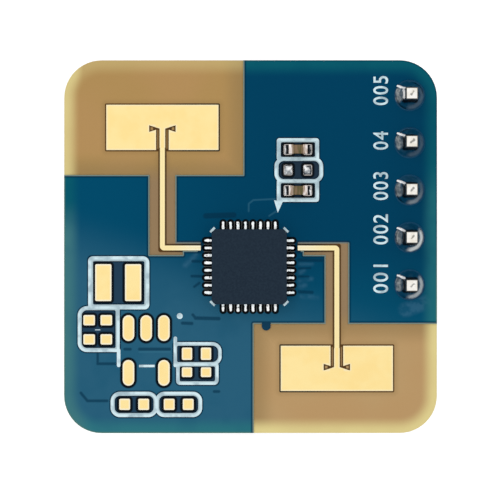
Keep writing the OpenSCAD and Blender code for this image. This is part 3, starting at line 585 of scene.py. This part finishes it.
def gold_base(tree, point):
    """Pale gold with a paler rim, a painted highlight where the rounded edge would catch the light."""
    cloud = ramp(tree, noise(tree, point, 0.8, 2.0), 0.35, 0.65)
    base = tint(tree, cloud, srgb(254, 226, 154), srgb(255, 231, 164))
    pads = use(tree, front_pads, Point=point)
    copper = use(tree, antenna_copper, Point=point)
    # Painted highlight along the rim of each pad and patch, paler on the pads.
    on_pad = calc(tree, "LESS_THAN", pads, copper)
    rim = tint(tree, on_pad, srgb(250, 234, 190), srgb(250, 244, 222))
    base = tint(tree, ramp(tree, least(tree, [pads, copper]), -0.11, -0.03, 0.0, 0.9), base, rim)
    # Painted highlight: the feed lines are paler, most of all towards their edges and near the chip.
    feed = copper.node.outputs["Feed"]
    from_chip = calc(tree, "ABSOLUTE", calc(tree, "SUBTRACT", coordinate(tree, point, X), chip_middle.x))
    line = tint(tree, ramp(tree, from_chip, 4.4, 2.8), srgb(254, 236, 178), srgb(253, 246, 218))
    base = tint(tree, ramp(tree, feed, 0.02, -0.03, 0.0, 0.8), base, line)
    base = tint(tree, ramp(tree, feed, -0.09, -0.15, 0.0, 0.7), base, srgb(242, 224, 172))
    # Painted shadow: a dark brown line just inside the copper's edge, away from the feeds.
    feed_edge = calc(tree, "MULTIPLY", ramp(tree, copper, -0.04, -0.01, 0.0, 0.85), ramp(tree, feed, 0.02, 0.0))
    base = tint(tree, feed_edge, base, srgb(96, 76, 36))
    return tint(tree, chip_lands(tree, point)[0], base, srgb(1, 4, 9))


def print_base(tree, point):
    cloud = ramp(tree, noise(tree, point, 1.6, 3.0), 0.34, 0.6)
    base = tint(tree, cloud, srgb(174, 198, 208), srgb(222, 246, 253))
    line = use(tree, print_frames, out="Line", Point=point)
    inside = line.node.outputs["Inside"]
    shade = calc(tree, "MULTIPLY", ramp(tree, inside, 0.0, -0.09), ramp(tree, cloud, 0.2, 0.9, 0.1, 0.55))
    return tint(tree, shade, base, srgb(120, 142, 152))


def pin_place(tree, point):
    """Place from the middle of the nearest header pin."""
    x = coordinate(tree, point, X)
    y = coordinate(tree, point, Y)
    across = calc(tree, "SUBTRACT", x, pin_x)
    height = calc(tree, "SUBTRACT", y, pin_low_y)
    step = calc(tree, "ROUND", calc(tree, "MULTIPLY", height, 1 / pin_pitch))
    step = calc(tree, "MAXIMUM", calc(tree, "MINIMUM", step, len(pins) - 1), 0.0)
    along = calc(tree, "MULTIPLY_ADD", step, -pin_pitch, height)
    return put(tree, "CombineXYZ", (across, along, 0.0))


def make_joint_painted_light():
    """Painted light on the header's solder: a white painted highlight streak, a grey painted reflection patch
    and a painted highlight crescent to the right.
    """
    group, point = point_group("Joint painted light", ["Streak", "Patch", "Crescent"])
    place = pin_place(group, point)
    ragged = calc(group, "MULTIPLY_ADD", noise(group, point, 3.5, 3.0), 0.22, -0.11)
    streak = calc(group, "ADD", to_segment(group, place, (-0.72, 0.56), (-0.32, 0.37), 0.06),
                  calc(group, "MULTIPLY", ragged, 0.4))
    first = ramp(group, coordinate(group, point, Y), 6.6, 7.0)
    bar = calc(group, "ADD", to_segment(group, place, (-0.36, 0.24), (-0.34, -0.16), 0.06), ragged)
    bar = calc(group, "MULTIPLY", ramp(group, bar, 0.03, -0.03), first)
    patch = calc(group, "ADD", to_segment(group, place, (-0.62, 0.25), (-0.58, -0.2), 0.13), ragged)
    ring = calc(group, "SUBTRACT", vector(group, "LENGTH", place, out=1), 0.63)
    ring = calc(group, "MULTIPLY_ADD", ragged, 0.4, calc(group, "ABSOLUTE", ring))
    lower_right = ramp(group, coordinate(group, place, (0.85, -0.5, 0)), 0.1, 0.4)
    y = coordinate(group, point, Y)
    by_pin = calc(group, "MULTIPLY", ramp(group, y, 3.4, 0.8, 0.1, 1.0), ramp(group, y, -2.2, -0.5, 0.65, 1.0))
    rim = calc(group, "MULTIPLY", calc(group, "MULTIPLY", ramp(group, ring, 0.16, 0.04), lower_right), by_pin)
    return close_group(group, Streak=calc(group, "MAXIMUM", ramp(group, streak, 0.03, -0.02), bar),
                       Patch=ramp(group, patch, 0.1, -0.1), Crescent=rim)


# Painted reflection: the header's solder takes the blue of the lacquer round it, with painted shade round the
# pin, a grey painted reflection patch, painted highlight crescents and a white painted highlight streak.
def joint_base(tree, point):
    streak = use(tree, joint_painted_light, out="Streak", Point=point)
    cloud = ramp(tree, noise(tree, point, 2.2, 3.0), 0.4, 0.75)
    base = tint(tree, cloud, srgb(2, 68, 100), srgb(40, 88, 116))
    shade = to_box(tree, pin_place(tree, point), 0.0, 0.0, 0.34, 0.34, 0.05)
    base = tint(tree, ramp(tree, shade, 0.12, 0.05), base, srgb(6, 12, 20))
    patchy = mottled(srgb(112, 122, 128), srgb(196, 200, 198), 5.0)(tree, point)
    base = tint(tree, streak.node.outputs["Patch"], base, patchy)
    base = tint(tree, streak.node.outputs["Crescent"], base, srgb(232, 236, 236))
    return tint(tree, streak, base, srgb(255, 255, 255))


def joint_metallic(tree, point):
    streak = use(tree, joint_painted_light, out="Streak", Point=point)
    white = calc(tree, "MAXIMUM", streak, streak.node.outputs["Crescent"])
    return tint_value(tree, white, 0.25, 0.0)


def land_solder_base(tree, point):
    """White blobs on the chip's pads with painted shade at their dark, uneven edges and a few dark specks."""
    far = use(tree, chip_pads, Point=point)
    ragged = calc(tree, "MULTIPLY_ADD", noise(tree, point, 4.5, 1.0), 0.09, -0.045)
    # Painted shade at the blobs' uneven edges.
    edge = ramp(tree, calc(tree, "ADD", far, ragged), -0.05, -0.025)
    dark_specks = ramp(tree, noise(tree, point, 6.5, 1.0), 0.67, 0.72, 0.0, 0.8)
    base = tint(tree, ramp(tree, noise(tree, point, 4.0), 0.3, 0.7), srgb(236, 246, 248), srgb(254, 254, 254))
    return tint(tree, calc(tree, "MAXIMUM", edge, dark_specks), base, srgb(10, 16, 24))


def fillet_base(tree, point):
    """Bright solder at the toe, with dark, uneven painted shade where it climbs."""
    up = coordinate(tree, put(tree, "TexCoord", out="Normal"), Z)
    height = calc(tree, "ABSOLUTE", coordinate(tree, point, Z))
    rough = noise(tree, point, 4.5, 2.0)
    height = calc(tree, "ADD", height, calc(tree, "MULTIPLY_ADD", rough, 0.16, -0.08))
    base = tint(tree, ramp(tree, noise(tree, point, 4.0), 0.3, 0.7), srgb(226, 228, 230), srgb(250, 250, 250))
    # Painted shade where the solder turns steep or climbs high.
    climbs = calc(tree, "MAXIMUM", ramp(tree, up, 0.88, 0.66),
                  ramp(tree, height, land_top + 0.05, land_top + 0.09))
    return tint(tree, calc(tree, "MULTIPLY", climbs, 0.95), base, srgb(14, 20, 30))


def ceramic_base(tree, point):
    """Brown ceramic with fine olive and reddish layers across."""
    layers = noise(tree, vector(tree, "MULTIPLY", point, (1.0, 0.12, 0.12)), 7.0, 2.0)
    return tint(tree, ramp(tree, layers, 0.35, 0.65), srgb(94, 86, 50), srgb(136, 110, 84))


def capacitor_end_base(tree, point):
    """Tinned ends with brown streaks across, closer together towards the ceramic."""
    from_middle = calc(tree, "ABSOLUTE", calc(tree, "SUBTRACT", coordinate(tree, point, X), capacitor_x))
    streaks = noise(tree, vector(tree, "MULTIPLY", point, (1.0, 0.15, 0.15)), 8.0, 1.0)
    streaks = calc(tree, "ADD", streaks, ramp(tree, from_middle, 0.26, 0.42, 0.12, -0.06))
    base = mottled(srgb(222, 210, 204), srgb(240, 234, 230), 5.0)(tree, point)
    return tint(tree, ramp(tree, streaks, 0.5, 0.62, 0.0, 0.85), base, srgb(146, 122, 98))


def spare_base(tree, point):
    """Thin tinning that drew back from parts of the pad's edge, silver mottled with grey."""
    pad = use(tree, front_pads, Point=point)
    ragged = calc(tree, "MULTIPLY_ADD", noise(tree, point, 2.6, 2.0), 0.5, -0.25)
    base = mottled(srgb(112, 118, 124), srgb(250, 252, 252), 3.4, 2.0)(tree, point)
    return tint(tree, ramp(tree, calc(tree, "ADD", pad, ragged), -0.1, -0.03, 0.0, 0.9), base, srgb(34, 40, 48))


def pin_base(tree, point):
    """Bright cut ends with a small dark shear mark, and darker sides above the board, a painted shade."""
    ends = calc(tree, "ABSOLUTE", coordinate(tree, put(tree, "TexCoord", out="Normal"), Z))
    height = coordinate(tree, point, Z)
    base = tint(tree, ramp(tree, noise(tree, point, 4.0), 0.3, 0.7), srgb(236, 230, 218), srgb(250, 248, 244))
    # Painted shade on the pins' sides above the board.
    side = calc(tree, "MULTIPLY", ramp(tree, ends, 0.97, 0.85), ramp(tree, height, 0.5, 0.7))
    base = tint(tree, side, base, srgb(96, 96, 94))
    cut = calc(tree, "ADD", to_segment(tree, pin_place(tree, point), (-0.03, -0.06), (0.09, 0.08), 0.03),
               calc(tree, "MULTIPLY_ADD", noise(tree, point, 5.0, 3.0), 0.2, -0.1))
    mark = calc(tree, "MULTIPLY", ramp(tree, cut, 0.05, -0.02, 0.0, 0.75), ramp(tree, height, 2.0, 2.1))
    return tint(tree, mark, base, srgb(92, 92, 84))


def mottled(first, second, scale=4.0, detail=3.0):
    """Two close shades of one finish, in soft patches."""
    return lambda tree, point: tint(tree, ramp(tree, noise(tree, point, scale, detail), 0.3, 0.7),
                                    first, second)


def make_materials():
    global joint_painted_light
    joint_painted_light = make_joint_painted_light()
    return {
        "laminate": finish_shader("laminate", laminate_base, grain_roughness(0.6, 0.05, 6.0),
                                  bump=grain(5.0), bump_depth=0.01, **{"Specular IOR Level": 0.2}),
        "solder_mask": finish_shader("solder_mask", lacquer_base, grain_roughness(0.32, 0.05, 3.0),
                                     bump=grain(2.5), bump_depth=0.01, **{"Specular IOR Level": 0.015}),
        "back_mask": finish_shader("back_mask", back_lacquer_base, grain_roughness(0.32, 0.05, 3.0),
                                   bump=grain(2.5), bump_depth=0.01, **{"Specular IOR Level": 0.25}),
        "white_print": finish_shader("white_print", print_base, grain_roughness(0.7, 0.08, 8.0),
                                     bump=grain(12.0), bump_depth=0.006, **{"Specular IOR Level": 0.2}),
        "copper": finish_shader("copper", mottled(srgb(204, 130, 92), srgb(220, 150, 108)),
                                grain_roughness(0.4, 0.08, 6.0), 1.0),
        "gold_plating": finish_shader("gold_plating", gold_base, grain_roughness(0.42, 0.04, 6.0), 1.0,
                                      bump=grain(20.0), bump_depth=0.002),
        "solder": finish_shader("solder", mottled(srgb(232, 232, 234), srgb(250, 250, 250)),
                                grain_roughness(0.22, 0.08, 5.0), 1.0, bump=grain(6.0), bump_depth=0.01),
        "joint_solder": finish_shader("joint_solder", joint_base, grain_roughness(0.34, 0.06, 3.0),
                                      joint_metallic, bump=grain(1.6, 2.0), bump_depth=0.02,
                                      **{"Specular IOR Level": 0.1}),
        "land_solder": finish_shader("land_solder", land_solder_base, grain_roughness(0.35, 0.08, 5.0),
                                     1.0, bump=grain(6.0), bump_depth=0.008),
        "fillet_solder": finish_shader("fillet_solder", fillet_base, grain_roughness(0.3, 0.08, 5.0), 1.0,
                                       bump=grain(6.0), bump_depth=0.008),
        "spare_solder": finish_shader("spare_solder", spare_base,
                                      grain_roughness(0.3, 0.08, 5.0), 1.0, bump=grain(5.0),
                                      bump_depth=0.02),
        "tinned_lead": finish_shader("tinned_lead", mottled(srgb(214, 206, 200), srgb(235, 230, 226)),
                                     grain_roughness(0.4, 0.08, 8.0), 1.0, bump=grain(14.0),
                                     bump_depth=0.004),
        "capacitor_metal": finish_shader("capacitor_metal", capacitor_end_base,
                                         grain_roughness(0.4, 0.08, 8.0), 1.0, bump=grain(6.0, 2.0),
                                         bump_depth=0.002),
        "chip_epoxy": finish_shader("chip_epoxy", mottled(srgb(31, 44, 58), srgb(37, 51, 65), 9.0, 5.0),
                                    grain_roughness(0.62, 0.06, 20.0), bump=grain(28.0, 5.0),
                                    bump_depth=0.006, **{"Specular IOR Level": 0.05}),
        "capacitor_ceramic": finish_shader("capacitor_ceramic", ceramic_base,
                                           grain_roughness(0.45, 0.06, 12.0), bump=grain(18.0),
                                           bump_depth=0.004, **{"Specular IOR Level": 0.2}),
        "resistor_ceramic": finish_shader("resistor_ceramic", mottled(srgb(224, 224, 220), srgb(238, 238, 234)),
                                          grain_roughness(0.6, 0.06, 12.0), bump=grain(18.0),
                                          bump_depth=0.004),
        "resistor_coat": finish_shader("resistor_coat", mottled(srgb(16, 16, 19), srgb(26, 26, 30)),
                                       grain_roughness(0.25, 0.05, 8.0)),
        "crystal_ceramic": finish_shader("crystal_ceramic", mottled(srgb(66, 60, 54), srgb(80, 74, 66)),
                                         grain_roughness(0.6, 0.06, 12.0), bump=grain(18.0),
                                         bump_depth=0.004),
        "crystal_metal": finish_shader("crystal_metal", mottled(srgb(206, 206, 202), srgb(226, 226, 222)),
                                       grain_roughness(0.32, 0.05, 4.0), 1.0,
                                       bump=grain(5.0, 2.0), bump_depth=0.001),
        "header_plastic": finish_shader("header_plastic", mottled(srgb(20, 20, 22), srgb(30, 30, 32)),
                                        grain_roughness(0.5, 0.07, 5.0), bump=grain(10.0),
                                        bump_depth=0.008),
        "header_pins": finish_shader("header_pins", pin_base, grain_roughness(0.3, 0.06, 3.0), 1.0,
                                     bump=grain(4.0, 2.0), bump_depth=0.0015),
    }


# Pieces

def only(piece):
    """Selects one object alone and makes it active."""
    for other in list(bpy.context.selected_objects):
        other.select_set(False)
    piece.select_set(True)
    bpy.context.view_layer.objects.active = piece


def settle(piece, nodes, material_name, sharp=40):
    """Gives a finished piece its material and its body, smooths it, and hides the nodes that it stands for."""
    piece.data.materials.clear()
    piece.data.materials.append(materials[material_name])
    only(piece)
    bpy.ops.object.shade_smooth_by_angle(angle=math.radians(sharp))
    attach(piece, "root")
    if nodes:
        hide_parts(*nodes)


def merged_copy(node, name):
    """A copy of a node's mesh with its loose triangles joined into flat faces."""
    piece = bpy.data.objects.new(name, frame["nodes"][node].data.copy())
    bpy.context.collection.objects.link(piece)
    only(piece)
    bpy.ops.object.mode_set(mode="EDIT")
    bpy.ops.mesh.select_all(action="SELECT")
    bpy.ops.mesh.remove_doubles(threshold=0.0001 * MM)
    bpy.ops.mesh.dissolve_limited(angle_limit=math.radians(0.5))
    bpy.ops.object.mode_set(mode="OBJECT")
    return piece


def rounded(node, name, width, steps=2):
    """The node's own solid with its sharp edges rounded, as moulded or cut parts have them."""
    piece = merged_copy(node, name)
    bpy.ops.object.mode_set(mode="EDIT")
    bpy.ops.mesh.select_all(action="DESELECT")
    bpy.ops.mesh.edges_select_sharp(sharpness=math.radians(20))
    bpy.ops.mesh.bevel(offset=width * MM, segments=steps, clamp_overlap=True)
    bpy.ops.object.mode_set(mode="OBJECT")
    return piece


def molten(node, name, cell, passes, wobble):
    """The node's solder with the round skin that it froze in, slightly uneven."""
    piece = merged_copy(node, name)
    remesh = piece.modifiers.new("skin", "REMESH")
    remesh.mode, remesh.voxel_size = "VOXEL", cell * MM
    bpy.ops.object.modifier_apply(modifier="skin")
    ease = piece.modifiers.new("ease", "SMOOTH")
    ease.factor, ease.iterations = 0.6, passes
    bpy.ops.object.modifier_apply(modifier="ease")
    cloud = bpy.data.textures.new(name, "CLOUDS")
    cloud.noise_scale, cloud.noise_depth = 0.35 * MM, 1
    swell = piece.modifiers.new("swell", "DISPLACE")
    swell.texture, swell.texture_coords = cloud, "LOCAL"
    swell.strength, swell.mid_level = wobble * MM, 0.5
    bpy.ops.object.modifier_apply(modifier="swell")
    return piece


def make_rounded_parts():
    for node, width in (("radar_chip_body", 0.03), ("microcontroller_body", 0.03)):
        settle(rounded(node, node + "_moulding", width, 1), [node], "chip_epoxy")
    for node in ("upper_capacitor_body", "lower_capacitor_body", "back_capacitor_bodies"):
        settle(rounded(node, node + "_block", 0.02), [node], "capacitor_ceramic")
    for node in ("upper_capacitor_ends", "lower_capacitor_ends"):
        settle(rounded(node, node + "_metal", 0.012), [node], "capacitor_metal")
    for node in ("back_capacitor_ends", "back_resistor_ends"):
        settle(rounded(node, node + "_metal", 0.012), [node], "tinned_lead")
    settle(rounded("header_housing", "header_housing_moulding", 0.06, 3), ["header_housing"],
           "header_plastic")
    settle(rounded("crystal_lid", "crystal_lid_pressing", 0.08, 3), ["crystal_lid"],
           "crystal_metal")
    settle(rounded("crystal_base", "crystal_base_block", 0.04, 2), ["crystal_base"],
           "crystal_ceramic")
    for i in range(1, 6):
        settle(rounded(f"header_pin_{i}", f"header_pin_{i}_rod", 0.02, 2), [f"header_pin_{i}"],
               "header_pins")


def joined(parts, name):
    """Makes one piece of several meshes."""
    only(parts[0])
    for part in parts[1:]:
        part.select_set(True)
    if len(parts) > 1:
        bpy.ops.object.join()
    piece = bpy.context.object
    piece.name = name
    only(piece)
    bpy.ops.object.transform_apply(location=True, rotation=True, scale=True)
    return piece


def solder_web(middle):
    """The ridge of solder that froze between a pin and the edge of its pad, at the upper left."""
    length, width, high, low = 0.38 * MM, 0.13 * MM, 0.42 * MM, 0.16 * MM
    place = Vector((middle.x - 0.52 * MM, middle.y + 0.44 * MM, copper_top + high / 2))
    bpy.ops.mesh.primitive_cube_add(size=1, location=place, rotation=(0, 0, math.radians(155)))
    ridge = bpy.context.object
    ridge.scale = (length, width, high)
    bpy.ops.object.transform_apply(location=False, rotation=False, scale=True)
    for vertex in ridge.data.vertices:
        vertex.select = vertex.co.x > 0 and vertex.co.z > 0
    bpy.ops.object.mode_set(mode="EDIT")
    bpy.ops.transform.translate(value=(0, 0, low - high))
    bpy.ops.mesh.select_all(action="SELECT")
    bpy.ops.mesh.bevel(offset=0.05 * MM, segments=3, clamp_overlap=True)
    bpy.ops.object.mode_set(mode="OBJECT")
    bpy.ops.object.transform_apply(location=True, rotation=True, scale=True)
    return ridge


def make_solder():
    for i in range(1, 6):
        node = f"solder_joint_{i}"
        low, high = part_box(node)
        parts = [merged_copy(node, node + "_cone"), solder_web((low + high) / 2)]
        settle(joined(parts, node + "_fillet"), [node], "joint_solder", 50)
    for node, material in (("radar_chip_solder", "land_solder"), ("microcontroller_solder", "solder")):
        settle(molten(node, node + "_fillets", 0.022, 3, 0.03), [node], material, 60)
    for node in ("filter_solder", "back_part_solder"):
        settle(molten(node, node + "_fillets", 0.022, 3, 0.03), [node], "fillet_solder", 60)
    settle(molten("spare_pad_solder", "spare_pad_solder_pillows", 0.02, 4, 0.07), ["spare_pad_solder"],
           "spare_solder", 60)


def make_pin_numbers():
    """Plain white numbers beside the pins, read upwards, as thick as the print."""
    parts = []
    for body, middle_y, length in pin_numbers:
        bpy.ops.object.text_add()
        text = bpy.context.object
        text.data.body = body
        text.data.align_x, text.data.align_y = "CENTER", "CENTER"
        text.data.size = MM
        text.data.extrude = (print_top - mask_top) / 2
        text.data.offset = 0.01 * MM
        text.data.space_character = 1.15
        bpy.ops.object.convert(target="MESH")
        size = text.dimensions.copy()
        centre = sum((Vector(corner) for corner in text.bound_box), Vector()) / 8
        for vertex in text.data.vertices:
            vertex.co -= centre
        text.scale = (length * MM / size.x, number_cap * MM / size.y, 1)
        text.rotation_euler = (0, 0, math.radians(90))
        text.location = board_middle + Vector((number_x, middle_y, 0)) * MM
        text.location.z = (mask_top + print_top) / 2
        bpy.ops.object.transform_apply(location=True, rotation=True, scale=True)
        parts.append(text)
    settle(joined(parts, "pin_numbers"), [], "white_print")


def dress_nodes():
    """Every node that still shows takes the material of its slot, or a variant of it."""
    slots = {part["node"]: part["material_slot"] for part in frame["record"]["subparts"]}
    variants = {"back_solder_mask": "back_mask", "plated_holes": "joint_solder",
                "radar_chip_pads": "land_solder", "filter_pads": "tinned_lead"}
    for node, thing in frame["nodes"].items():
        name = variants.get(node, slots[node])
        thing.data.materials.clear()
        thing.data.materials.append(materials[name])


# Stage

def seen_rays(tree):
    """One for what the camera sees straight, in metal or through glass."""
    paths = tree.nodes.new("ShaderNodeLightPath").outputs
    seen = calc(tree, "MAXIMUM", paths["Is Camera Ray"], paths["Is Glossy Ray"])
    return calc(tree, "MAXIMUM", seen, paths["Is Transmission Ray"])


def make_floor():
    floor_z = cad_box[0].z - 0.0002
    bpy.ops.mesh.primitive_plane_add(size=0.9, location=(board_middle.x, board_middle.y, floor_z))
    floor = bpy.context.object
    floor.name = "floor"
    material = bpy.data.materials.new("floor")
    material.use_nodes = True
    tree = material.node_tree
    tree.nodes.clear()
    glow = calc(tree, "MULTIPLY", seen_rays(tree), 0.55)
    pale = put(tree, "BsdfDiffuse", {"Color": (0.8, 0.8, 0.8, 1)})
    glow = put(tree, "Emission", {"Color": (1, 1, 1, 1), "Strength": glow})
    both = put(tree, "AddShader", (pale, glow))
    under = put(tree, "NewGeometry", out="Backfacing")
    clear = put(tree, "BsdfTransparent")
    face = put(tree, "MixShader", (under, both, clear))
    sink = tree.nodes.new("ShaderNodeOutputMaterial")
    tree.links.new(face, sink.inputs["Surface"])
    floor.data.materials.append(material)


def make_world():
    world = bpy.data.worlds.new("studio")
    bpy.context.scene.world = world
    world.use_nodes = True
    tree = world.node_tree
    tree.nodes.clear()
    up = coordinate(tree, put(tree, "TexCoord", out="Generated"), Z)
    strength = ramp(tree, up, 0.0, 0.9, 0.45, 0.85)
    strength = put(tree, "Mix", {0: seen_rays(tree), 2: strength, 3: 1.0}, data_type="FLOAT")
    shade = put(tree, "Background", {"Color": (1, 1, 1, 1), "Strength": strength})
    sink = tree.nodes.new("ShaderNodeOutputWorld")
    tree.links.new(shade, sink.inputs["Surface"])


def make_lamp(name, size, place, strength):
    """A square soft lamp that points at the board; strength is its radiance."""
    data = bpy.data.lights.new(name, "AREA")
    data.shape, data.size = "SQUARE", size
    data.energy = strength * math.pi * size * size
    lamp = bpy.data.objects.new(name, data)
    bpy.context.collection.objects.link(lamp)
    lamp.location = board_middle + Vector(place)
    lamp.rotation_euler = Vector(place).to_track_quat("Z", "Y").to_euler()
    return lamp


def make_camera():
    field, distance, sensor = 26.30 * MM, 98 * MM, 36
    data = bpy.data.cameras.new("camera")
    data.sensor_width = sensor
    data.lens = sensor * distance / field
    data.clip_start = 0.001
    camera = bpy.data.objects.new("camera", data)
    bpy.context.collection.objects.link(camera)
    camera.location = (board_middle.x - 0.298 * MM, board_middle.y + 0.089 * MM, front_z + distance)
    bpy.context.scene.camera = camera


for thing in list(bpy.context.selected_objects):
    thing.select_set(False)
bpy.context.scene.view_settings.view_transform = "Standard"
materials = make_materials()
make_camera()
make_world()
make_lamp("overhead softbox", 0.40, (0, 0, 0.35), 0.35).visible_glossy = False
make_lamp("upper left lamp", 0.10, (-0.12, 0.14, 0.20), 1.6)
make_floor()
dress_nodes()
make_rounded_parts()
make_solder()
make_pin_numbers()
